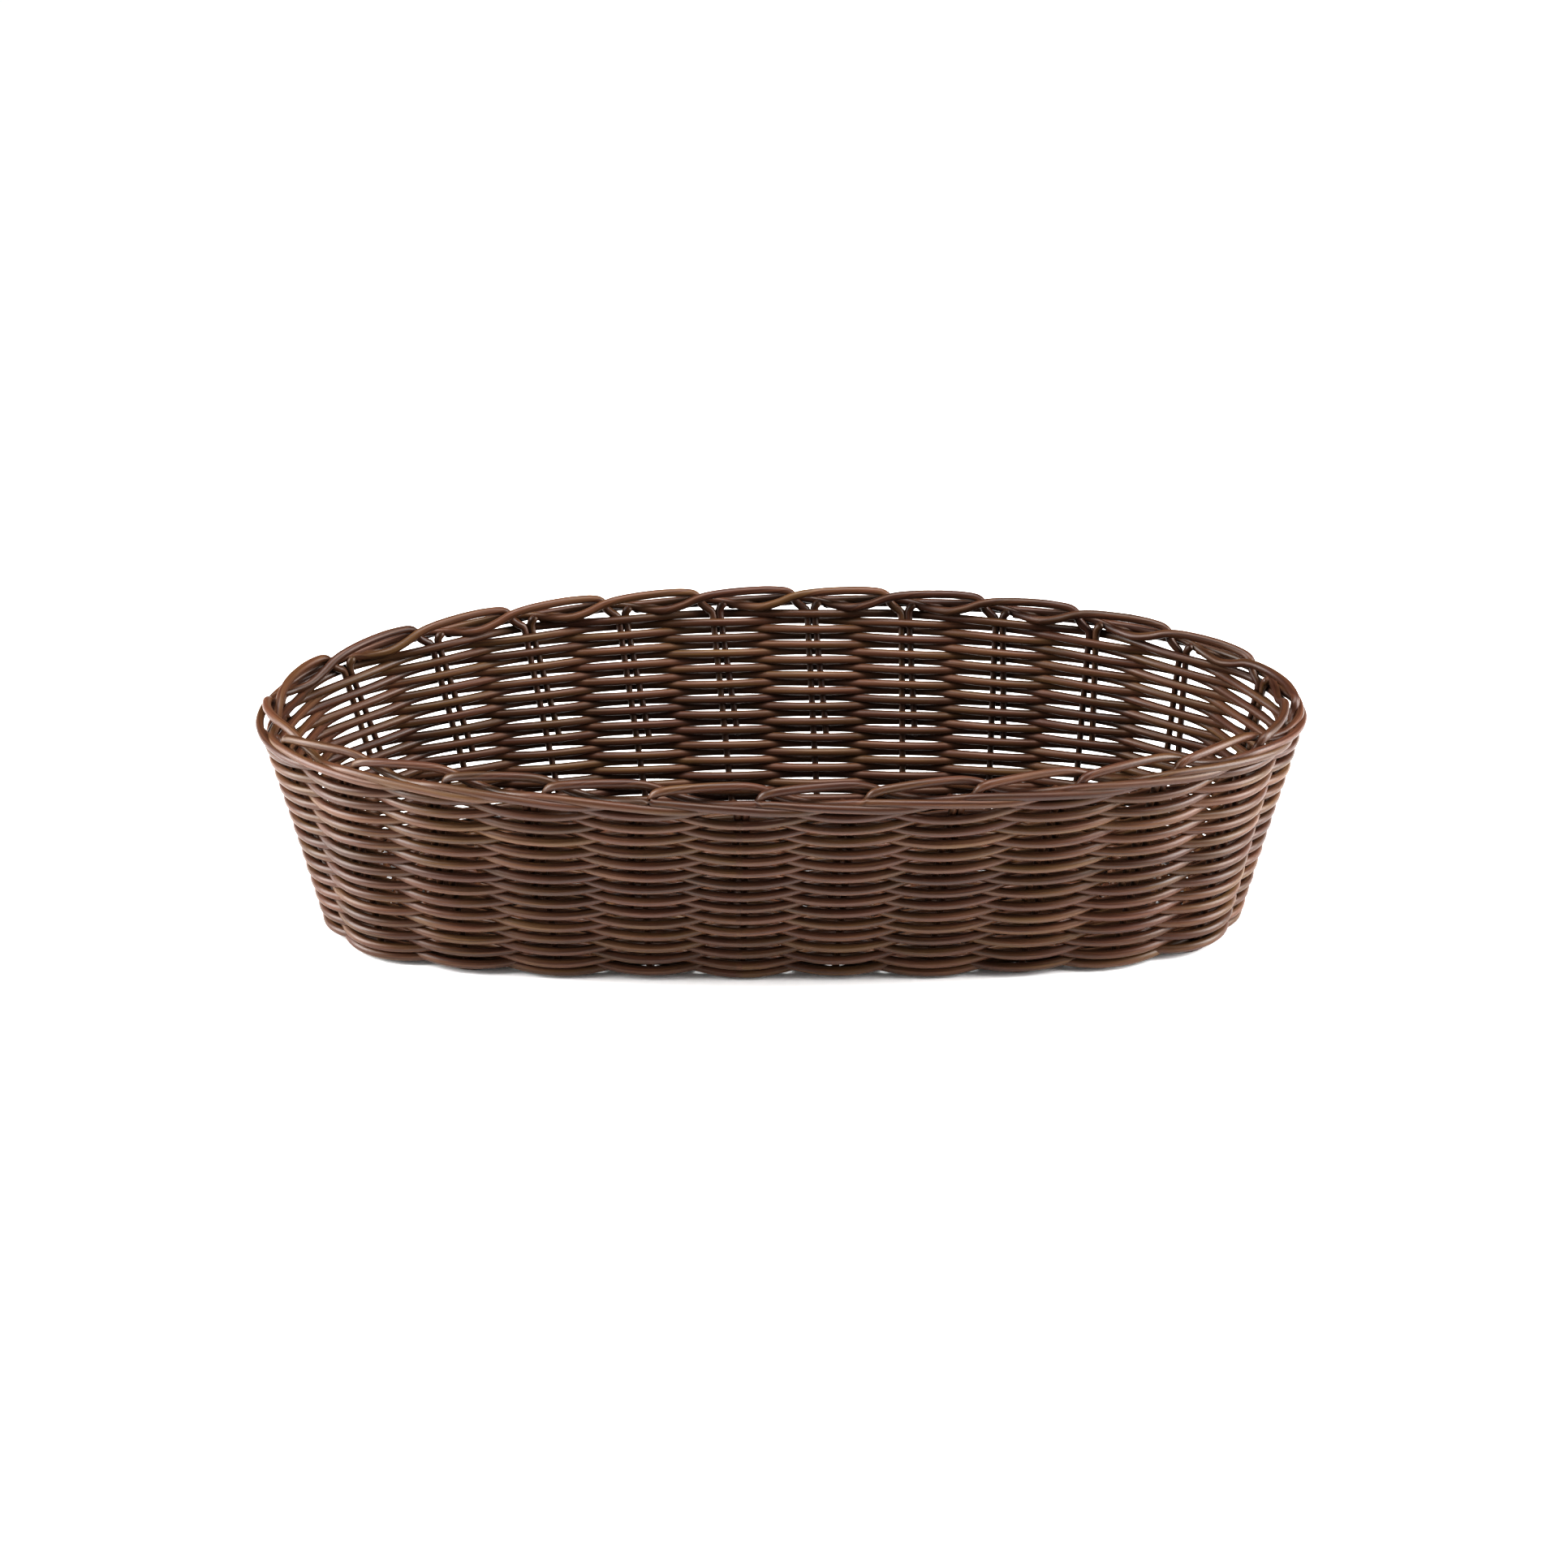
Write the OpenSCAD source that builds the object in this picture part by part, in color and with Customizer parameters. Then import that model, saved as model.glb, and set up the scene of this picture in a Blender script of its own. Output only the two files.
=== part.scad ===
// Oval woven fruit basket of round plastic strand.
// Millimetres, +Z up, X along the length, origin in the middle of the face that it rests on.

/* [Basket] */
// Length along the middle of the border
rim_length = 364; // [300:1:460]
// Width along the middle of the border
rim_width = 166; // [130:1:220]
// Squareness of the rim's outline, where 2 is an ellipse
rim_power = 2.05; // [2:0.05:3]
// Length of the wall's middle line at the foot
base_length = 324; // [260:1:400]
// Width of the wall's middle line at the foot
base_width = 112; // [90:1:180]
// Squareness of the foot's outline
base_power = 3.6; // [2:0.1:4]
// How much lower the border lies at the two ends
end_drop = 5.5; // [0:0.5:8]

/* [Weave] */
// Diameter of a weaver
weaver_d = 3; // [2.5:0.1:3.6]
// Number of woven rows in the wall
row_count = 27; // [20:1:29]
// Rise from one row to the next
row_pitch = 2.8; // [2.7:0.05:3.6]
// Height of the row round the bottom edge
foot_row_h = 2.6; // [2.2:0.1:3.2]

/* [Stakes and border] */
// Number of stake pairs, an even number so that the rows close
stake_pairs = 24; // [20:2:26]
// Diameter of a stake
stake_d = 2.5; // [2:0.1:3]
// Sideways lean of a stake from foot to rim, in stake spacings
stake_lean = 0.12; // [0:0.02:0.3]
// How far a stake's foot reaches in from the wall's middle line
stake_foot = 18; // [12:1:22]
// Height at which a bye-stake ends, as a share of the wall's height
bye_start = 0.42; // [0.2:0.02:0.7]
// How much further a bye-stake stands from its stake at its lower end
bye_splay = 2.4; // [0:0.1:4]

/* [Base] */
// Thickness of the woven base
base_h = 8; // [7:0.1:9]
// Diameter of a base stick
stick_d = 2.4; // [2:0.1:2.6]
// Number of crosswise base sticks
cross_sticks = 8; // [6:2:8]

/* [Hidden] */
function two_digits(i) = str(i < 10 ? "0" : "", i);
function row_name(i) = str("weaver_row_", two_digits(i));
function pair_name(i) = str("stake_pair_", two_digits(i));

strand_colour = [0.34, 0.24, 0.18];
stake_colour = [0.30, 0.21, 0.16];
base_colour = [0.32, 0.23, 0.17];

// Gap between pieces that are woven past each other
weave_gap = 0.2;
// A row is drawn as a band a little smaller than its round strand
band_t = weaver_d * 0.78;
band_h = row_pitch - 0.3;
// Level at which a stake's foot runs in under the first row
foot_z = stake_d / 2 + weave_gap;
// The first row clears the foot row and the stakes' feet
foot_row_gap = 0.5;
first_row_z = max(foot_row_h + foot_row_gap, foot_z + stake_d / 2 + weave_gap) + band_h / 2;
rim_z = first_row_z + (row_count - 1) * row_pitch + band_h / 2 + weave_gap;
// Slope of the wall across one band, which pushes a leaning stake towards it
wall_slope = max(rim_width - base_width, rim_length - base_length) / 2 / rim_z;
slope_gap = wall_slope * band_h / 2;
weave_reach = stake_d / 2 + slope_gap + weave_gap + band_t / 2;
// How far a stake stands beside the middle of its pair at the top of the wall
stake_beside = 0.35 * stake_d;
// The first stake stands this part of a spacing before the middle of the front
stake_phase = -0.27;
// Where along a stake spacing the bands are drawn: at the edges of each flat run and on the slopes
band_stops = [0.1, 0.36, 0.64, 0.9];
// How far a row's wave would rise above its flat run, as a share of the flat height
wave_peak = 1.06;
// Depth of the foot row's scallops, as a share of the row's reach
scallop = 0.3;
outline_steps = 360;
slab_steps = 14;
strand_sides = 6;
// Clear of the widest strand
outside = 20;

// ---- The basket's outline, and the wall between foot and rim ----

// A rounded oblong in polar form: it is an ellipse when power is 2
function outline_point(half_l, half_w, power, turn) =
    let (
        c = cos(turn),
        s = sin(turn),
        r = pow(pow(abs(c), power) + pow(abs(s), power), -1 / power)
    )
    [half_l * r * c, half_w * r * s];

// Counter-clockwise from the middle of the front
function closed_outline(half_l, half_w, power) =
    [for (i = [0:outline_steps]) outline_point(half_l, half_w, power, -90 + 360 * i / outline_steps)];

function running_length(points) =
    [for (
        i = 0, run = 0;
        i < len(points);
        run = run + (i + 1 < len(points) ? norm(points[i + 1] - points[i]) : 0), i = i + 1
    ) run];

// One coordinate of the outline against the share of its length that has been run
function share_table(points, axis) =
    let (run = running_length(points), total = run[len(run) - 1])
    [for (i = [0:len(points) - 1]) [run[i] / total, points[i][axis]]];

function outline_length(points) =
    let (run = running_length(points))
    run[len(run) - 1];

rim_outline = closed_outline(rim_length / 2, rim_width / 2, rim_power);
base_outline = closed_outline(base_length / 2, base_width / 2, base_power);
stake_spacing = outline_length(rim_outline) / stake_pairs;
rim_x = share_table(rim_outline, 0);
rim_y = share_table(rim_outline, 1);
base_x = share_table(base_outline, 0);
base_y = share_table(base_outline, 1);

function part_turn(v) = v - floor(v);

// u counts stake pairs round the basket, and t rises from 0 at the foot to 1 at the rim
function rim_at(u) =
    let (share = part_turn((u + stake_phase) / stake_pairs))
    [lookup(share, rim_x), lookup(share, rim_y)];

function base_at(u) =
    let (share = part_turn((u + stake_phase - stake_lean) / stake_pairs))
    [lookup(share, base_x), lookup(share, base_y)];

function wall_at(u, t) = base_at(u) * (1 - t) + rim_at(u) * t;

function along_at(u, t) =
    let (step = wall_at(u + 0.02, t) - wall_at(u - 0.02, t))
    step / norm(step);

function outward_at(u, t) =
    let (along = along_at(u, t))
    [along.y, -along.x];

// The rim and the rows under it sink towards the two ends
function sink(x, half_l) = end_drop * pow(min(abs(x) / half_l, 1), 3);
function rim_height(u) = rim_z - sink(rim_at(u).x, rim_length / 2);
function half_length_at(t) = (base_length * (1 - t) + rim_length * t) / 2;

// ---- Woven rows ----

// Outside one stake pair and inside the next, with a flat run across each pair
function weave_offset(u, row) = weave_reach * max(-1, min(1, wave_peak * cos(180 * (u + row))));

// Bulges out over every pair, as a pair of strands twisted round the bottom edge does
function foot_offset(u) = weave_reach * (1 - scallop + scallop * cos(360 * u));

function ring_edge(t, row, side) =
    [for (pair = [0:stake_pairs - 1]) for (stop = band_stops)
        let (
            u = pair + stop,
            middle = row == 0 ? foot_offset(u) : weave_offset(u, row)
        )
        wall_at(u, t) + outward_at(u, t) * (middle + side * band_t / 2)];

module ring_band(t, row) {
    outer = ring_edge(t, row, 1);
    inner = ring_edge(t, row, -1);
    count = len(outer);
    polygon(
        points = concat(outer, inner),
        paths = [[for (j = [0:count - 1]) j], [for (j = [0:count - 1]) count + j]]
    );
}

// A slab across the whole basket that sinks at both ends as the rim does
module sinking_slab(z, t, thickness) {
    reach = rim_length / 2 + outside;
    half_l = half_length_at(t);
    xs = [for (i = [0:slab_steps]) -reach + 2 * reach * i / slab_steps];
    middle = [for (x = xs) [x, z - t * sink(x, half_l)]];
    last = len(middle) - 1;
    profile = concat(
        [for (p = middle) [p.x, p.y - thickness / 2]],
        [for (i = [0:last]) [middle[last - i].x, middle[last - i].y + thickness / 2]]
    );
    rotate([90, 0, 0])
        linear_extrude(height = rim_width + 2 * outside, center = true)
            polygon(profile);
}

module weaver_row(i) {
    z = first_row_z + (i - 1) * row_pitch;
    t = z / rim_z;
    color(strand_colour)
        intersection() {
            translate([0, 0, z - end_drop - band_h])
                linear_extrude(height = end_drop + 2 * band_h)
                    ring_band(t, i);
            sinking_slab(z, t, band_h);
        }
}

module foot_row() {
    color(strand_colour)
        linear_extrude(height = foot_row_h)
            ring_band(foot_row_h / 2 / rim_z, 0);
}

// ---- Stakes, which go on into the border ----

function unit(v) = v / norm(v);

// Direction of a path at each of its points
function tangents(path) =
    let (last = len(path) - 1)
    [for (i = [0:last]) unit(path[min(i + 1, last)] - path[max(i - 1, 0)])];

// A side direction carried along the path without twisting
function carried_side(tangent, first) =
    [for (
        i = 0, side = unit(first - (first * tangent[0]) * tangent[0]);
        i < len(tangent);
        i = i + 1,
        side = i < len(tangent) ? unit(side - (side * tangent[i]) * tangent[i]) : side
    ) side];

module strand(path, d, first_side) {
    tangent = tangents(path);
    side = carried_side(tangent, first_side);
    n = strand_sides;
    rings = len(path);
    points = [for (i = [0:rings - 1]) for (k = [0:n - 1])
        path[i] + d / 2 * (cos(360 * k / n) * side[i] + sin(360 * k / n) * cross(tangent[i], side[i]))];
    skin = [for (i = [0:rings - 2]) for (k = [0:n - 1])
        let (next = (k + 1) % n)
        [i * n + k, (i + 1) * n + k, (i + 1) * n + next, i * n + next]];
    start_cap = [for (k = [0:n - 1]) k];
    end_cap = [for (k = [0:n - 1]) rings * n - 1 - k];
    polyhedron(points = points, faces = concat(skin, [start_cap, end_cap]));
}

// A point beside the wall: out is measured away from the basket, up from the top of the wall
function rim_place(u, out, up) =
    let (p = rim_at(u) + out * outward_at(u, 1))
    [p.x, p.y, rim_height(u) + up];

// A point in the wall's middle line, a distance beside u along the wall
function wall_place(u, t, beside) =
    let (
        v = u + beside / stake_spacing,
        p = wall_at(v, t)
    )
    [p.x, p.y, t * rim_height(v)];

// Size of the bend from the foot into the wall
foot_bend = 1.6;

function foot_place(u, out, up) =
    let (
        t = foot_z / rim_z,
        p = wall_at(u, t) + out * outward_at(u, t)
    )
    [p.x, p.y, foot_z + up];

// The foot runs in level, and bends up into the wall
function foot_path(u) =
    concat(
        [foot_place(u, -stake_foot, 0), foot_place(u, -foot_bend, 0)],
        [foot_place(u, -0.4 * foot_bend, 0.2 * foot_bend)],
        [for (rise = [2, 3]) wall_place(u, rise * foot_bend / rim_z, 0)]
    );

// Level just under the top of the wall, where a strand goes on into the border
wall_end = 0.985;

// Up the wall from the foot
function stake_path(u) =
    concat(foot_path(u), [for (t = [0.3, 0.65, wall_end]) wall_place(u, t, t * stake_beside)]);

// The bye-stake starts part of the way up, and comes closer to its stake as it rises
function bye_path(u) =
    [for (t = [bye_start, (bye_start + wall_end) / 2, wall_end])
        let (splay = bye_splay * (wall_end - t) / (wall_end - bye_start))
        wall_place(u, t, t * stake_beside - stake_d - weave_gap - splay)];

// The border's course after a stake leaves the wall, in stake spacings and stake diameters:
// it rises, runs behind the next stake, dips under that stake's bend, crosses to the outside
// and slopes down in front of two more
border_course = [
    [0.04, 0, 0.4],
    [0.07, 0.04, 1.3],
    [0.14, 0.12, 2.1],
    [0.35, 0.08, 2.9],
    [0.55, -0.12, 3.15],
    [0.75, -0.52, 3.35],
    [1, -1.08, 3.15],
    [1.25, -1.04, 2.55],
    [1.5, -0.32, 1.95],
    [1.75, 0.56, 2.35],
    [2, 1.1, 2.5],
    [2.25, 1.3, 2.3],
    [2.5, 1.44, 2.05],
    [2.75, 1.52, 1.8],
    [3, 1.6, 1.5],
    [3.25, 1.62, 1.2],
    [3.5, 1.6, 0.9],
    [3.75, 1.5, 0.65],
    [4, 1.3, 0.5]
];

// The bye-stake leans away and stops inside the border
bye_course = [
    [-0.07, 0, 0.4],
    [-0.1, 0, 1],
    [-0.14, 0, 1.6]
];

function follow(u, course) =
    [for (c = course) rim_place(u + c[0], c[1] * stake_d, c[2] * stake_d)];

module stake_pair(i) {
    u = i - 1;
    along = along_at(u, 0);
    side = [along.x, along.y, 0];
    color(stake_colour) {
        strand(concat(stake_path(u), follow(u, border_course)), stake_d, side);
        strand(concat(bye_path(u), follow(u, bye_course)), stake_d, side);
    }
}

// ---- Base ----

// Clearance between the woven base and the lowest rows
base_gap = 0.5;
// Space between the wall's middle line and the woven base
base_inset = weave_reach + band_t / 2 + base_gap;
// Clearance round a stick or a stake's foot inside the base
slot_gap = 0.2;
// How much weave covers the crosswise sticks, and covers their ends
stick_cover = 0.6;
stick_end_cover = 4;
long_stick_z = foot_z;
cross_stick_z = base_h - stick_d / 2 - stick_cover;
// Each stick ends beside a stake's foot: the lengthwise ones at the ends, and the others at the sides
long_sticks = stake_pairs / 2 - cross_sticks;
// The lengthwise sticks lie side by side, and stop short of the feet at the ends
long_step = stick_d + 2 * slot_gap + 0.4;
foot_end_gap = 7;
long_stick_l = base_length - 2 * (stake_foot + foot_end_gap);

function base_edge() =
    [for (pair = [0:stake_pairs - 1]) for (stop = band_stops)
        let (u = pair + stop)
        base_at(u) - base_inset * outward_at(u, 0)];

module stick(length, d, place, along_x) {
    translate(place)
        rotate(along_x ? [0, 90, 0] : [90, 0, 0])
            cylinder(h = length, d = d, center = true, $fn = 32);
}

module long_stick_set(d, extra) {
    for (j = [0:long_sticks - 1])
        stick(long_stick_l + extra, d, [0, (j - (long_sticks - 1) / 2) * long_step, long_stick_z], true);
}

// A crosswise stick lies midway between a foot at the front and the nearest one at the back
module cross_stick_set(d, extra) {
    for (i = [1:cross_sticks]) {
        front = base_at(i - cross_sticks / 2);
        back = base_at((stake_pairs + cross_sticks) / 2 + 1 - i);
        half = min(-front.y, back.y) - base_inset - stick_end_cover;
        stick(2 * half + extra, d, [(front.x + back.x) / 2, 0, cross_stick_z], false);
    }
}

// A slot in the edge of the base that takes a stake's foot
module foot_slot(u) {
    at = wall_at(u, foot_z / rim_z);
    out = outward_at(u, foot_z / rim_z);
    wide = stake_d + 2 * slot_gap;
    below = 1;
    translate([at.x, at.y, 0])
        rotate([0, 0, atan2(out.y, out.x)])
            translate([-stake_foot - slot_gap, -wide / 2, -below])
                cube([stake_foot, wide, below + foot_z + stake_d / 2 + slot_gap]);
}

module base_weave() {
    color(base_colour)
        difference() {
            linear_extrude(height = base_h)
                polygon(base_edge());
            for (i = [1:stake_pairs])
                foot_slot(i - 1);
            long_stick_set(stick_d + 2 * slot_gap, 2 * slot_gap);
            cross_stick_set(stick_d + 2 * slot_gap, 2 * slot_gap);
        }
}

module base_long_sticks() {
    color(stake_colour)
        long_stick_set(stick_d, 0);
}

module base_cross_sticks() {
    color(stake_colour)
        cross_stick_set(stick_d, 0);
}

foot_row();
for (i = [1:row_count])
    weaver_row(i);
for (i = [1:stake_pairs])
    stake_pair(i);
base_weave();
base_long_sticks();
base_cross_sticks();
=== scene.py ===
import math

import bpy
import numpy as np
from mathutils import Matrix, Vector


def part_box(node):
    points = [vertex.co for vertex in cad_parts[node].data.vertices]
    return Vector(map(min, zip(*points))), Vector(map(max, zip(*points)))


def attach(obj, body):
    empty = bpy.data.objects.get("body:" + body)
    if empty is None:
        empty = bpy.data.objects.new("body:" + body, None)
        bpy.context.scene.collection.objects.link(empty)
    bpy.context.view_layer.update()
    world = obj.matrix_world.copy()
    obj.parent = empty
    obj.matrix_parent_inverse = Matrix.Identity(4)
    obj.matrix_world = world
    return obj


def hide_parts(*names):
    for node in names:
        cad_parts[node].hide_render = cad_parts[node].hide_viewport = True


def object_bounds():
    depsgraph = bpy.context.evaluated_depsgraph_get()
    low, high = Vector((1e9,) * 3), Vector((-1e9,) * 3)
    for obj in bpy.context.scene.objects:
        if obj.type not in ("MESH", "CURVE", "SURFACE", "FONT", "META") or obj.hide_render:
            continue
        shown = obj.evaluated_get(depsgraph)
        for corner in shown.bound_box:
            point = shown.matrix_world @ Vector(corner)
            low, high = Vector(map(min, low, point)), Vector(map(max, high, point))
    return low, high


# Oval fruit basket of round plastic strand: woven rows over paired stakes, a rolled border
# made of the stakes' long ends, and a woven base. Metres throughout.

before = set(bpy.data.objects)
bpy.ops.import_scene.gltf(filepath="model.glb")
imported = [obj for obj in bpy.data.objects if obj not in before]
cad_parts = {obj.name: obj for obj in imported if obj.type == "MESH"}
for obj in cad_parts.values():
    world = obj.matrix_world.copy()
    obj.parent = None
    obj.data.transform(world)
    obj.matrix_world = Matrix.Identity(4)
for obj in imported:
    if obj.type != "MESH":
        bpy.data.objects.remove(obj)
cad_low, cad_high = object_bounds()
MM = 0.001
rng = np.random.default_rng(24)

# ---- Driving sizes ----

WEAVER_D = 3.2 * MM
STAKE_D = 2.5 * MM
BORDER_D = 3.15 * MM             # a stake's strand above the wall, where it is bent and swollen
ROW_BAND_H = 2.5 * MM            # height of a row's band in the CAD model
RIM_POWER = 2.05                 # squareness of the rim's outline, 2 being an ellipse
BASE_POWER = 3.6                 # squareness of the outline at the foot
END_DROP = 5.5 * MM              # how much lower the border lies at the two ends
STAKE_LEAN = 0.12                # sideways lean from foot to rim, in stake spacings
STAKE_PHASE = -0.27              # where the first stake stands, in stake spacings
BYE_START = 0.42                 # height at which a bye-stake ends below
BYE_SPLAY = 2.4 * MM             # how much further it stands from its stake there
STAKE_CLEARANCE = 0.05 * MM      # from an even row to a stake it passes
REACH = (WEAVER_D + STAKE_D) / 2 + STAKE_CLEARANCE
CAD_REACH = 4.2 * MM             # from the wall's middle line to the outside of a CAD row
BORDER_REACH = 5.3 * MM          # from the rim's middle line to the outside of the border

row_names = sorted(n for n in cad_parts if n.startswith("weaver_row_"))
pair_names = sorted(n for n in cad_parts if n.startswith("stake_pair_"))
ROWS = len(row_names)
PAIRS = len(pair_names)

foot_low, foot_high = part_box("foot_row")
rim_half_l = cad_high.x - BORDER_REACH
rim_half_w = cad_high.y - BORDER_REACH
base_half_l = foot_high.x - CAD_REACH
base_half_w = foot_high.y - CAD_REACH
RIM_ABOVE_ROWS = 0.2 * MM
rim_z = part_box(row_names[-1])[1].z + RIM_ABOVE_ROWS


# ---- The basket's outline and wall ----

def outline(half_l, half_w, power, steps=1440):
    """A rounded oblong: the point at polar angle a is (half_l cos a, half_w sin a) divided by the
    power mean of cos a and sin a. Returns the points, counter-clockwise from the middle of the
    front, and the share of the whole length that has been run at each."""
    a = np.radians(-90 + 360 * np.arange(steps + 1) / steps)
    c, s = np.cos(a), np.sin(a)
    r = (np.abs(c) ** power + np.abs(s) ** power) ** (-1 / power)
    points = np.stack([half_l * r * c, half_w * r * s], axis=1)
    run = np.concatenate([[0], np.cumsum(np.linalg.norm(np.diff(points, axis=0), axis=1))])
    return points, run / run[-1]


RIM = outline(rim_half_l, rim_half_w, RIM_POWER)
BASE = outline(base_half_l, base_half_w, BASE_POWER)


def on_outline(curve, share):
    """Point of an outline at a share of its length."""
    points, run = curve
    share = np.mod(share, 1.0)
    return np.stack([np.interp(share, run, points[:, i]) for i in (0, 1)], axis=-1)


def wall_at(u, t):
    """Middle line of the wall: u counts stake pairs, and t rises from the foot to the rim in a
    straight line between the two outlines."""
    low = on_outline(BASE, (u + STAKE_PHASE - STAKE_LEAN) / PAIRS)
    high = on_outline(RIM, (u + STAKE_PHASE) / PAIRS)
    t = np.asarray(t)[..., None]
    return low * (1 - t) + high * t


def along_at(u, t):
    """Level unit direction in which u grows, taken over a short way to both sides."""
    near = 0.05
    step = wall_at(u + near, t) - wall_at(u - near, t)
    step /= np.linalg.norm(step, axis=-1, keepdims=True)
    return np.stack([step[..., 0], step[..., 1], np.zeros(step.shape[:-1])], axis=-1)


def out_at(u, t):
    """Level unit direction away from the basket."""
    a = along_at(u, t)
    return np.stack([a[..., 1], -a[..., 0], a[..., 2]], axis=-1)


def sink(x, half_l):
    """Drop of the rim, growing with the cube of the distance from the middle."""
    return END_DROP * np.minimum(np.abs(x) / half_l, 1) ** 3


def rim_height(u):
    return rim_z - sink(on_outline(RIM, (u + STAKE_PHASE) / PAIRS)[..., 0], rim_half_l)


def lift_to(flat, height):
    """Puts level points at the given heights."""
    return np.concatenate([flat, height[:, None]], axis=1)


# ---- Strand ----

def smooth_path(points, per_span):
    """A curve through the points, each span being a cubic whose slopes are those of the chords
    between its neighbours (Catmull-Rom)."""
    p = np.asarray(points, float)
    p = np.concatenate([2 * p[:1] - p[1:2], p, 2 * p[-1:] - p[-2:-1]])
    f = (np.arange(per_span) / per_span)[None, :, None]
    a, b, c, d = p[:-3, None], p[1:-2, None], p[2:-1, None], p[3:, None]
    curve = 0.5 * (2 * b + (c - a) * f + (2 * a - 5 * b + 4 * c - d) * f ** 2
                   + (3 * b - a - 3 * c + d) * f ** 3)
    return np.concatenate([curve.reshape(-1, 3), p[-2:-1]])


def unit(v):
    return v / np.maximum(np.linalg.norm(v, axis=-1, keepdims=True), 1e-12)


def path_direction(path, closed):
    if closed:
        return unit(np.roll(path, -1, axis=0) - np.roll(path, 1, axis=0))
    return unit(np.gradient(path, axis=0))


CUT_BEYOND = np.array([0.28, 0.12, 0.0])    # how far a cut end's circles lie past it, in radii
CUT_RADIUS = np.array([0.0, 0.72, 0.95])    # their size, in radii


def with_ends(values):
    """The first and the last value three times, once for each circle of a cut end."""
    return np.concatenate([values[:1]] * 3 + [values[1:-1]] + [values[-1:]] * 3)


def strand_grid(path, radius, side, sides, closed):
    """A round tube: at each point of the path a circle of the given radius, its first corner
    turned to side. Open ends close in over three shrinking circles, as cut strand is slightly
    rounded. Returns the corner grid and, for each corner, its place along and round the strand."""
    direction = path_direction(path, closed)
    a = unit(side - np.sum(side * direction, axis=1, keepdims=True) * direction)
    b = np.cross(direction, a)
    run = np.concatenate([[0], np.cumsum(np.linalg.norm(np.diff(path, axis=0), axis=1))])
    radius = np.full(len(path), radius) if np.isscalar(radius) else radius
    if not closed:
        beyond = CUT_BEYOND * radius[0]
        shrink = CUT_RADIUS * radius[0]
        start = path[:1] - direction[:1] * beyond[:, None]
        end = path[-1:] + direction[-1:] * beyond[::-1][:, None]
        path = np.concatenate([start, path[1:-1], end])
        radius = np.concatenate([shrink, radius[1:-1], shrink[::-1]])
        a, b, run = with_ends(a), with_ends(b), with_ends(run)
    turn = 2 * np.pi * np.arange(sides) / sides
    c, s = np.cos(turn)[None, :, None], np.sin(turn)[None, :, None]
    grid = path[:, None] + radius[:, None, None] * (c * a[:, None] + s * b[:, None])
    place = np.stack(np.broadcast_arrays(run[:, None], np.cos(turn)[None], np.sin(turn)[None]), axis=-1)
    return grid, place


def grid_faces(rings, sides, closed):
    """Four-cornered faces between neighbouring circles, pointing outwards."""
    i = np.arange(rings if closed else rings - 1)[:, None]
    k = np.arange(sides)[None, :]
    j, n = (i + 1) % rings, (k + 1) % sides
    return np.stack(np.broadcast_arrays(i * sides + k, i * sides + n, j * sides + n, j * sides + k),
                    axis=-1).reshape(-1, 4)


def strand_piece(name, strands, material, body="root"):
    """One object made of several strands, each given as path, radius, side, sides and closed.
    Every strand has a tone of its own, and each corner knows its place along and round it."""
    corners, places, tones, faces = [], [], [], []
    count = 0
    for path, radius, side, sides, closed in strands:
        grid, place = strand_grid(path, radius, side, sides, closed)
        rings = grid.shape[0]
        start = rng.uniform(0, 3)
        corners.append(grid.reshape(-1, 3))
        places.append((place + [start, 0, 0]).reshape(-1, 3))
        tones.append(np.full(rings * sides, rng.uniform()))
        faces.append(grid_faces(rings, sides, closed) + count)
        count += rings * sides
    mesh = bpy.data.meshes.new(name)
    quads = np.concatenate(faces)
    mesh.from_pydata(np.concatenate(corners), [], quads.tolist())
    mesh.shade_smooth()
    at = mesh.attributes.new("strand_place", "FLOAT_VECTOR", "POINT")
    at.data.foreach_set("vector", np.concatenate(places).astype(np.float32).ravel())
    tone = mesh.attributes.new("strand_tone", "FLOAT", "POINT")
    tone.data.foreach_set("value", np.concatenate(tones).astype(np.float32))
    mesh.materials.append(material)
    piece = bpy.data.objects.new(name, mesh)
    bpy.context.scene.collection.objects.link(piece)
    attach(piece, body)
    return piece


def wander(u, size, waves):
    """Slow unevenness round the basket: a sum of a few whole waves with random phase."""
    k = rng.integers(2, 26, waves)[:, None]
    phase = rng.uniform(0, 2 * np.pi, waves)[:, None]
    weight = rng.uniform(0.4, 1, waves)[:, None] / np.sqrt(waves)
    return size * np.sum(weight * np.sin(2 * np.pi * k * u[None] / PAIRS + phase), axis=0)


# ---- Wall rows ----

STRAND_SIDES = 12
ROW_STEPS = 16                   # points of a row from one stake pair to the next
ROW_FLATTENING = 0.14
ROW_SWAY = 0.12 * MM             # unevenness of a row, level
ROW_RISE = 0.16 * MM             # unevenness of a row, up and down
WAVES = (5, 7)                   # how many waves make up each


def flattened(c, share):
    """A cosine whose peaks are flattened by adding a share of it and taking off that of its cube."""
    return c * (1 + share - share * c * c)


def row_wave(u, row):
    """Runs between 1, outside a stake pair, and -1, inside the next."""
    return flattened(np.cos(np.pi * (u + row)), ROW_FLATTENING)


def wall_tilt(u, t):
    """Angle by which the wall leans out from upright."""
    foot, rim = np.zeros_like(u), np.ones_like(u)
    run = np.sum((wall_at(u, rim) - wall_at(u, foot)) * out_at(u, t)[:, :2], axis=1)
    return np.arctan2(run, rim_z)


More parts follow.
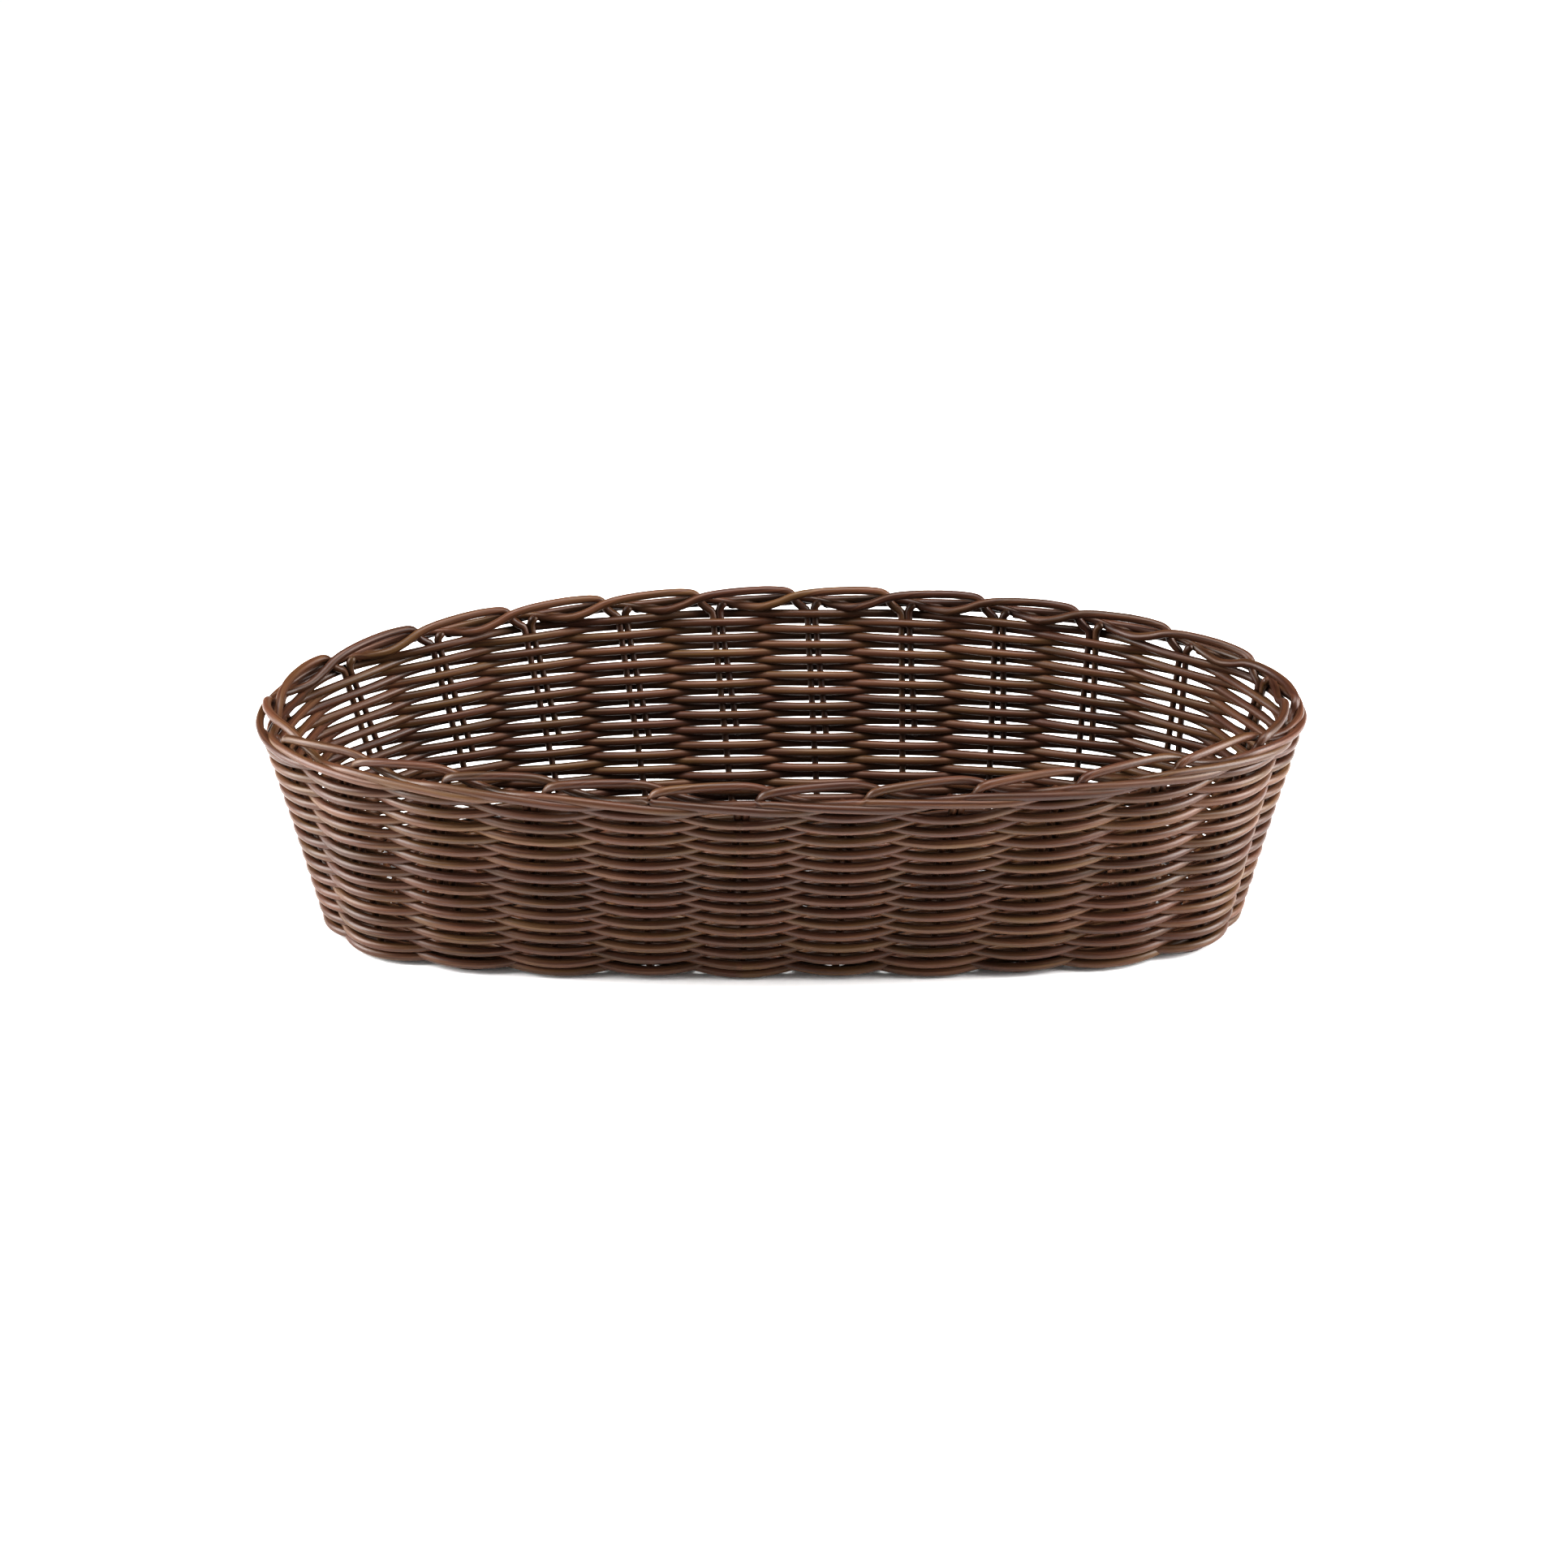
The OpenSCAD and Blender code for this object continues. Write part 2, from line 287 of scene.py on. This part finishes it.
def row_path(row, z, u):
    """Middle line of a row: the wall's middle line, moved square to the leaning wall by the wave."""
    t = np.full_like(u, z / rim_z)
    half_l = base_half_l + (rim_half_l - base_half_l) * z / rim_z
    middle = wall_at(u, t)
    tilt = wall_tilt(u, t)
    proud = REACH * row_wave(u, row) + wander(u, ROW_SWAY, WAVES[0])
    flat = middle + out_at(u, t)[:, :2] * (proud * np.cos(tilt))[:, None]
    height = z - t * sink(middle[:, 0], half_l) - proud * np.sin(tilt)
    height = height + wander(u, ROW_RISE, WAVES[1])
    return lift_to(flat, np.maximum(height, WEAVER_D / 2))


ROW_U = np.arange(PAIRS * ROW_STEPS) / ROW_STEPS
UP = np.array([0.0, 0.0, 1.0])
CLEAR_ROW = 8                    # a row that lies clear of the base
FOOT_STRAND_Z = 3.4 * MM         # middle level of the woven strand of the bottom edge
LOW_STRAND_OUT = 0.8 * MM        # the low strand, outside the wall's middle line where it shows
LOW_STRAND_IN = 2.9 * MM         # and inside it where it does not
LOW_STRAND_LIFT = 2.4 * MM       # how much higher it lies there
LOW_STRAND_POWER = 1.5           # how quickly it goes in


def row_height(row):
    """Middle height of a row. The rows are evenly spaced, so two that lie clear of the base give
    all of them."""
    low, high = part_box(row_names[CLEAR_ROW - 1])[1].z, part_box(row_names[-1])[1].z
    return low + (row - CLEAR_ROW) * (high - low) / (ROWS - CLEAR_ROW) - ROW_BAND_H / 2


def build_rows(material):
    """Each row is one turn of round strand, closed on itself."""
    for row in range(1, ROWS + 1):
        path = row_path(row, row_height(row), ROW_U)
        name = f"woven_row_{row:02d}"
        strand = (path, WEAVER_D / 2, np.broadcast_to(UP, path.shape), STRAND_SIDES, True)
        piece = strand_piece(name, [strand], material)
        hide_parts(row_names[row - 1])


def build_foot_row(material):
    """Two strands round the bottom edge, which pass each pair on opposite sides: one is woven as
    a row is, and the other shows low down beneath every second arc and lies on the feet between."""
    woven = row_path(0, FOOT_STRAND_Z, ROW_U)
    shows = np.maximum(-np.cos(np.pi * ROW_U), 0) ** LOW_STRAND_POWER
    t = np.zeros_like(ROW_U)
    out = LOW_STRAND_OUT * shows - LOW_STRAND_IN * (1 - shows)
    flat = wall_at(ROW_U, t) + out[:, None] * out_at(ROW_U, t)[:, :2]
    low = lift_to(flat, WEAVER_D / 2 + LOW_STRAND_LIFT * (1 - shows))
    strands = [(path, WEAVER_D / 2, np.broadcast_to(UP, path.shape), STRAND_SIDES, True)
               for path in (woven, low)]
    piece = strand_piece("foot_strands", strands, material)
    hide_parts("foot_row")


# ---- Stakes, which go on into the border ----

SPACING = np.sum(np.linalg.norm(np.diff(RIM[0], axis=0), axis=1)) / PAIRS
BASE_MIDDLE = 4.0 * MM           # level of the base's sticks, and of the feet between them
BEND_Z = 3.6 * MM                # where a stake has turned up into the wall
UPRIGHT_LOW = 0.1                # from here on its course follows the wall, as a share of the height
UPRIGHT_TOP = 0.985              # and up to here
STAKE_SHIFT = 0.35               # its shift sideways from foot to rim, in stake diameters
PAIR_GAP = 0.2 * MM              # between a stake and its bye-stake at the top
SWELL_FROM = 0.9                 # height from which the strand thickens towards the border's
SPAN_STEPS = 12                  # points from one point of a course to the next
PATH_STEP = 1.1 * MM

# The border's course after a stake leaves the wall: stake spacings along it, then stake diameters
# outwards and up. It rises, runs behind the next stake, dips under that stake's bend, crosses to
# the outside and slopes down in front of two more, and its end is tucked in.
BORDER_COURSE = [
    (0.08, 0, 0.35),
    (0.14, 0.14, 1.1),
    (0.165, 0.34, 1.8),
    (0.2, 0.46, 2.45),
    (0.29, 0.46, 2.85),
    (0.5, 0.1, 3.1),
    (0.75, -0.45, 3.15),
    (1, -0.95, 3.0),
    (1.17, -1.1, 2.5),
    (1.34, -1.18, 1.5),
    (1.52, -1.0, 0.8),
    (1.72, -0.1, 0.7),
    (1.88, 0.62, 1.0),
    (2.05, 1.08, 1.28),
    (2.25, 1.25, 1.28),
    (2.5, 1.4, 1.1),
    (2.75, 1.5, 0.9),
    (3, 1.58, 0.7),
    (3.25, 1.66, 0.5),
    (3.5, 1.5, 0.4),
    (3.7, 0.9, 0.5),
    (3.85, 0.4, 0.6),
]
# A bye-stake's course above the wall, in the same units.
BYE_COURSE = [
    (-0.06, 0, 0.4),
    (-0.08, 0, 0.8),
    (-0.11, 0, 1.2),
]
# A foot's course from its end to the wall, in millimetres: distance in from the wall, and height.
FOOT_COURSE = [
    (18, 4),
    (14, 4),
    (10, 3.9),
    (7, 3.2),
    (4.5, 2.1),
    (2.6, 1.4),
    (1.2, 1.6),
]


def even_path(path, step):
    """The same path with points a step apart."""
    run = np.concatenate([[0], np.cumsum(np.linalg.norm(np.diff(path, axis=0), axis=1))])
    at = np.linspace(0, run[-1], max(int(run[-1] / step), 2))
    return np.stack([np.interp(at, run, path[:, i]) for i in range(3)], axis=1)


def wall_place(u, t, beside):
    """Points in the wall's middle line, a distance beside u along the wall."""
    v = u + np.asarray(beside) / SPACING
    return lift_to(wall_at(v, t), t * rim_height(v))


def follow(u, course):
    """The border's course from the stake at u, as points."""
    c = np.array(course)
    v = u + c[:, 0]
    ones = np.ones(len(c))
    flat = wall_at(v, ones) + out_at(v, ones)[:, :2] * c[:, 1:2] * STAKE_D
    return lift_to(flat, rim_height(v) + c[:, 2] * STAKE_D)


def foot_path(u):
    """The foot runs level between the base's rings, dips under the bottom edge's inner strand and
    bends up."""
    inwards, z = np.array(FOOT_COURSE).T * MM
    v = np.full(len(z), float(u))
    t = z / rim_z
    return lift_to(wall_at(v, t) - inwards[:, None] * out_at(v, t)[:, :2], z)


def stake_path(u):
    """Foot, upright and border in one strand."""
    t = np.concatenate([[BEND_Z / rim_z], np.linspace(UPRIGHT_LOW, UPRIGHT_TOP, 10)])
    upright = wall_place(np.full_like(t, u), t, t * STAKE_SHIFT * STAKE_D)
    points = np.concatenate([foot_path(u), upright, follow(u, BORDER_COURSE)])
    return even_path(smooth_path(points, SPAN_STEPS), PATH_STEP)


def bye_path(u):
    """The bye-stake starts part of the way up, comes closer to its stake as it rises, and leans
    away under the border."""
    t = np.linspace(BYE_START, UPRIGHT_TOP, 7)
    splay = BYE_SPLAY * (UPRIGHT_TOP - t) / (UPRIGHT_TOP - BYE_START)
    beside = t * STAKE_SHIFT * STAKE_D - STAKE_D - PAIR_GAP - splay
    points = np.concatenate([wall_place(np.full_like(t, u), t, beside), follow(u, BYE_COURSE)])
    return even_path(smooth_path(points, SPAN_STEPS), PATH_STEP)


def stake_radius(path):
    """Half a stake's thickness in the wall, growing to that of the border above it."""
    share = np.clip((path[:, 2] / rim_z - SWELL_FROM) / (1 - SWELL_FROM), 0, 1)
    return (STAKE_D + (BORDER_D - STAKE_D) * share) / 2


def build_stakes(material):
    """A stake and its bye-stake for each pair."""
    for i, node in enumerate(pair_names):
        paths = [stake_path(i), bye_path(i)]
        side = along_at(np.float64(i), np.float64(0))
        strands = [(path, stake_radius(path), np.broadcast_to(side, path.shape), STRAND_SIDES, False)
                   for path in paths]
        piece = strand_piece(f"stake_and_bye_stake_{i + 1:02d}", strands, material)
        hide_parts(node)


# ---- Base ----

STICK_D = 2.5 * MM
BASE_STRAND_D = 2.6 * MM
RING_STEP = 2.75 * MM            # from ring to ring, before they are spread evenly
FIRST_RING = 7.0 * MM            # from the spine to the innermost ring
PACKED_RINGS = 4                 # rings that take the ribs at the ends two at a time
RING_SIDES = 10
RING_STEPS = 18                  # points of a ring from one rib to the next
RING_FLATTENING = 0.2
RING_RISE = 0.05 * MM            # unevenness of a ring, up and down
RING_WAVES = 4
CROSS = 8                        # crosswise sticks
CROSS_STEPS = 60
CROSS_END_GAP = 3 * MM           # from a crosswise stick's end to the outermost ring
CROSSING_WIDTH = 9 * MM          # how wide its rise over the lengthwise sticks is
LONG_GAP = 0.1 * MM              # between the lengthwise sticks
LONG_END = 0.72                  # where their ends lie, as a share of the way to the edge
FAN_OUT = 1.8                    # how much further apart they are where they fan out
FAN_AT = 8 * MM                  # past the spine's end
STRAIGHT_SHARE = 0.94            # of the spine, along which they are straight
LONG_SPAN_STEPS = 16
LONG_PATH_STEP = 1.5 * MM
BASE_INSET = 5.9 * MM            # from the wall to the outermost ring
BASE_HALF_W = base_half_w - BASE_INSET
SPINE_HALF = base_half_l - BASE_INSET - BASE_HALF_W


def base_edge(u):
    """The line of the outermost ring of the base."""
    zero = np.zeros_like(u)
    return wall_at(u, zero) - BASE_INSET * out_at(u, zero)[:, :2]


def base_ring_place(u, share):
    """A point on the way from the spine, a straight line along the middle of the base, to the
    base's edge."""
    edge = base_edge(u)
    spine = edge.copy()
    spine[:, 0] = np.clip(edge[:, 0], -SPINE_HALF, SPINE_HALF)
    spine[:, 1] = 0
    return spine * (1 - share) + edge * share


def crossings(u, packed):
    """Counts ribs round the base. The first rings take the ribs at the ends two at a time, as they
    are still close together there."""
    if not packed:
        return u
    half = PAIRS // 2
    ends = half - CROSS
    first = CROSS // 2 + 1
    places, count = [], []
    n = 0
    for start in (0, half):
        for k in range(1, half + 1):
            at = start + k
            if first <= k < first + ends:
                if (k - first) % 2 == 0:
                    places.append(at + 0.5)
                    count.append(n)
                    n += 1
            else:
                places.append(at)
                count.append(n)
                n += 1
    places.append(places[0] + PAIRS)
    count.append(n)
    return np.interp(np.mod(u - places[0], PAIRS) + places[0], places, count)


def build_base_weave(material):
    """Strand woven over and under the ribs in closed rings, from the spine out to the wall."""
    rings = int((BASE_HALF_W - FIRST_RING) / RING_STEP) + 1
    strands = []
    u = np.arange(PAIRS * RING_STEPS) / RING_STEPS
    for k in range(rings):
        share = (FIRST_RING + k * (BASE_HALF_W - FIRST_RING) / (rings - 1)) / BASE_HALF_W
        wave = flattened(np.cos(np.pi * (crossings(u, k < PACKED_RINGS) + k)), RING_FLATTENING)
        height = BASE_MIDDLE + (STICK_D + BASE_STRAND_D) / 2 * wave
        flat = base_ring_place(u, share)
        path = lift_to(flat, height + wander(u, RING_RISE, RING_WAVES))
        strands.append((path, BASE_STRAND_D / 2, np.broadcast_to(UP, path.shape), RING_SIDES, True))
    piece = strand_piece("base_rings", strands, material)
    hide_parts("base_weave")


def cross_stick_path(i):
    """Straight across the base, rising over the lengthwise sticks in the middle."""
    front = base_edge(np.array([i - CROSS / 2]))[0]
    back = base_edge(np.array([(PAIRS + CROSS) / 2 + 1 - i]))[0]
    half = min(-front[1], back[1]) - CROSS_END_GAP
    y = np.linspace(-half, half, CROSS_STEPS)
    x = np.full_like(y, (front[0] + back[0]) / 2)
    z = BASE_MIDDLE + STICK_D / 2 * np.exp(-(y / CROSSING_WIDTH) ** 2)
    return np.stack([x, y, z], axis=1)


def long_stick_path(j, count):
    """Side by side under the crosswise sticks, and fanned out at both ends towards the stakes."""
    from_middle = j - (count - 1) / 2
    y = from_middle * (STICK_D + LONG_GAP)
    right = base_ring_place(np.array([PAIRS // 4 + from_middle + 0.5]), LONG_END)[0]
    left = base_ring_place(np.array([PAIRS * 3 // 4 - from_middle + 0.5]), LONG_END)[0]
    low = BASE_MIDDLE - STICK_D / 2
    near = SPINE_HALF * STRAIGHT_SHARE
    points = [
        (*left, BASE_MIDDLE),
        (-SPINE_HALF - FAN_AT, y * FAN_OUT, BASE_MIDDLE),
        (-near, y, low),
        (-near / 2, y, low),
        (0, y, low),
        (near / 2, y, low),
        (near, y, low),
        (SPINE_HALF + FAN_AT, y * FAN_OUT, BASE_MIDDLE),
        (*right, BASE_MIDDLE),
    ]
    return even_path(smooth_path(points, LONG_SPAN_STEPS), LONG_PATH_STEP)


def build_base_sticks(material):
    cross = [cross_stick_path(i) for i in range(1, CROSS + 1)]
    count = PAIRS // 2 - CROSS
    along = [long_stick_path(j, count) for j in range(count)]
    for name, node, paths in (("crosswise_sticks", "base_cross_sticks", cross),
                              ("lengthwise_sticks", "base_long_sticks", along)):
        strands = [(path, STICK_D / 2, np.broadcast_to(UP, path.shape), STRAND_SIDES, False)
                   for path in paths]
        piece = strand_piece(name, strands, material)
        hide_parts(node)


# ---- Materials ----

# How often each pattern repeats along a strand, per metre, and round it.
STREAKS = (22.0, 2.2, 2.2)
DRIFTS = (34.0, 0.35, 0.35)
GROOVES = (160.0, 6.0, 6.0)
TONE_SHIFT = 37.0                # moves each strand's pattern by its own tone
TONE_SHARE = 0.22                # how far a strand's tone moves it between dark and light
DRIFT_TINTS = [
    (0.35, (1.0, 0.95, 0.98)),
    (0.5, (1, 1.03, 0.95)),
    (0.65, (0.97, 1.12, 0.8)),
]


def add(tree, kind, **inputs):
    """A shader node with some of its inputs set, by name or by number after an underscore."""
    node = tree.nodes.new(kind)
    for key, value in inputs.items():
        if hasattr(node, key):
            setattr(node, key, value)
            continue
        socket = node.inputs[int(key[1:])] if key[1:].isdigit() else node.inputs[key.replace("_", " ")]
        if isinstance(value, bpy.types.NodeSocket):
            tree.links.new(value, socket)
        else:
            socket.default_value = value
    return node


def ramp(tree, value, stops):
    """A colour that follows a value through the given stops."""
    node = tree.nodes.new("ShaderNodeValToRGB")
    band = node.color_ramp
    while len(band.elements) < len(stops):
        band.elements.new(0.5)
    for element, (at, colour) in zip(band.elements, stops):
        element.position = at
        element.color = (*colour, 1)
    tree.links.new(value, node.inputs[0])
    return node.outputs[0]


def streaked_strand(name, dark, middle, light):
    """Extruded plastic strand: long faint streaks along it, a tone for each strand, slow drifts of
    hue, and fine grooves that show in the gloss."""
    material = bpy.data.materials.new(name)
    material.use_nodes = True
    tree = material.node_tree
    tree.nodes.clear()
    place = add(tree, "ShaderNodeAttribute", attribute_name="strand_place")
    tone = add(tree, "ShaderNodeAttribute", attribute_name="strand_tone")
    stretched = add(tree, "ShaderNodeVectorMath", operation="MULTIPLY", _0=place.outputs["Vector"],
                    _1=STREAKS)
    shifted = add(tree, "ShaderNodeVectorMath", operation="ADD", _0=stretched.outputs[0])
    spread = add(tree, "ShaderNodeMath", operation="MULTIPLY", _0=tone.outputs["Fac"],
                 _1=TONE_SHIFT)
    tree.links.new(spread.outputs[0], shifted.inputs[1])
    streak = add(tree, "ShaderNodeTexNoise", Vector=shifted.outputs[0], Scale=1.0, Detail=5.0,
                 Roughness=0.62)
    drift_place = add(tree, "ShaderNodeVectorMath", operation="MULTIPLY", _0=place.outputs["Vector"],
                      _1=DRIFTS)
    drift_shift = add(tree, "ShaderNodeVectorMath", operation="ADD", _0=drift_place.outputs[0])
    tree.links.new(spread.outputs[0], drift_shift.inputs[1])
    drift = add(tree, "ShaderNodeTexNoise", Vector=drift_shift.outputs[0], Scale=1.0, Detail=2.0)
    mixed = add(tree, "ShaderNodeMath", operation="MULTIPLY_ADD", _0=tone.outputs["Fac"],
                _1=TONE_SHARE)
    tree.links.new(streak.outputs["Fac"], mixed.inputs[2])
    lowered = add(tree, "ShaderNodeMath", operation="SUBTRACT", _0=mixed.outputs[0],
                  _1=TONE_SHARE / 2)
    base = ramp(tree, lowered.outputs[0], [(0.3, dark), (0.5, middle), (0.7, light)])
    olive = add(tree, "ShaderNodeMix", data_type="RGBA", blend_type="MULTIPLY")
    tree.links.new(ramp(tree, drift.outputs["Fac"], DRIFT_TINTS), olive.inputs[7])
    tree.links.new(base, olive.inputs[6])
    olive.inputs[0].default_value = 1.0
    rough = add(tree, "ShaderNodeMapRange", Value=streak.outputs["Fac"], To_Min=0.32, To_Max=0.48)
    fine_place = add(tree, "ShaderNodeVectorMath", operation="MULTIPLY", _0=place.outputs["Vector"],
                     _1=GROOVES)
    fine = add(tree, "ShaderNodeTexNoise", Vector=fine_place.outputs[0], Scale=1.0, Detail=3.0)
    bump = add(tree, "ShaderNodeBump", Height=fine.outputs["Fac"], Strength=0.25, Distance=0.0002)
    shader = add(tree, "ShaderNodeBsdfPrincipled", Roughness=rough.outputs[0],
                 Normal=bump.outputs[0])
    tree.links.new(olive.outputs[2], shader.inputs["Base Color"])
    shader.inputs["IOR"].default_value = 1.5
    shader.inputs["Specular IOR Level"].default_value = 0.34
    output = tree.nodes.new("ShaderNodeOutputMaterial")
    tree.links.new(shader.outputs[0], output.inputs[0])
    return material


def floor_finish():
    """Plain pale card."""
    material = bpy.data.materials.new("pale_floor")
    material.use_nodes = True
    tree = material.node_tree
    shader = tree.nodes["Principled BSDF"]
    shader.inputs["Base Color"].default_value = (0.98, 0.98, 0.98, 1)
    shader.inputs["Roughness"].default_value = 0.9
    shader.inputs["Specular IOR Level"].default_value = 0.1
    return material


# ---- Floor, light and camera ----

def build_floor():
    half = 6.0
    mesh = bpy.data.meshes.new("floor")
    mesh.from_pydata([(-half, -half, 0), (half, -half, 0), (half, half, 0), (-half, half, 0)], [],
                     [(0, 1, 2, 3)])
    mesh.materials.append(floor_finish())
    floor = bpy.data.objects.new("floor", mesh)
    bpy.context.scene.collection.objects.link(floor)


def soft_box(name, place, target, width, height, power):
    """A rectangular lamp that faces its target."""
    lamp = bpy.data.lights.new(name, "AREA")
    lamp.shape = "RECTANGLE"
    lamp.size = width
    lamp.size_y = height
    lamp.energy = power
    box = bpy.data.objects.new(name, lamp)
    box.location = place
    box.rotation_euler = (Vector(target) - Vector(place)).to_track_quat("-Z", "Y").to_euler()
    bpy.context.scene.collection.objects.link(box)


def build_light():
    """Soft boxes at both ends and overhead, and an even pale surround that the gloss of the
    strand hardly mirrors."""
    middle = (0, 0, 0.04)
    soft_box("left_box", (-1.05, -0.1, 0.5), middle, 0.6, 0.9, 36)
    soft_box("right_box", (1.05, -0.1, 0.5), middle, 0.6, 0.9, 36)
    soft_box("top_box", (0, -0.05, 1.5), middle, 1.2, 0.8, 40)
    world = bpy.data.worlds.new("surround")
    world.use_nodes = True
    tree = world.node_tree
    background = tree.nodes["Background"]
    background.inputs["Color"].default_value = (1, 1, 1, 1)
    ray = tree.nodes.new("ShaderNodeLightPath")
    seen = add(tree, "ShaderNodeMath", operation="MULTIPLY_ADD", _0=ray.outputs["Is Camera Ray"],
               _1=0.55, _2=0.46)
    dimmed = add(tree, "ShaderNodeMath", operation="MULTIPLY_ADD", _0=ray.outputs["Is Glossy Ray"],
                 _1=-0.38, _2=seen.outputs[0])
    tree.links.new(dimmed.outputs[0], background.inputs["Strength"])
    bpy.context.scene.world = world
    bpy.context.scene.view_settings.view_transform = "Standard"
    bpy.context.scene.view_settings.gamma = 0.8


def build_camera():
    """Level with the middle of the basket's height and slightly to its right, looking down."""
    look = Vector((0, 0, 0.0413))
    rise, turn, roll = math.radians(27.0), math.radians(1.71), math.radians(1.0)
    distance = 1.094
    aside, above = 0.0014, 0.0042
    back = Vector((math.sin(turn) * math.cos(rise), -math.cos(turn) * math.cos(rise), math.sin(rise)))
    right = Vector((math.cos(turn), math.sin(turn), 0))
    up = back.cross(right)
    lens = bpy.data.cameras.new("view")
    lens.lens = 69.4
    lens.sensor_width = 36
    lens.clip_start = 0.05
    lens.clip_end = 30
    camera = bpy.data.objects.new("view", lens)
    aim = look + aside * right + above * up
    tilted_right = right * math.cos(roll) - up * math.sin(roll)
    tilted_up = up * math.cos(roll) + right * math.sin(roll)
    turned = Matrix((tilted_right, tilted_up, back)).transposed().to_4x4()
    camera.matrix_world = Matrix.Translation(aim + back * distance) @ turned
    bpy.context.scene.collection.objects.link(camera)
    bpy.context.scene.camera = camera


weaver_brown = streaked_strand("weaver_brown", dark=(0.034, 0.012, 0.006),
                               middle=(0.062, 0.024, 0.012), light=(0.1, 0.045, 0.022))
stake_brown = streaked_strand("stake_brown", dark=(0.03, 0.01, 0.005),
                              middle=(0.056, 0.021, 0.01), light=(0.09, 0.04, 0.02))
base_brown = streaked_strand("base_brown", dark=(0.032, 0.011, 0.006),
                             middle=(0.058, 0.022, 0.011), light=(0.09, 0.04, 0.02))
build_rows(weaver_brown)
build_foot_row(weaver_brown)
build_stakes(stake_brown)
build_base_weave(base_brown)
build_base_sticks(stake_brown)
build_floor()
build_light()
build_camera()
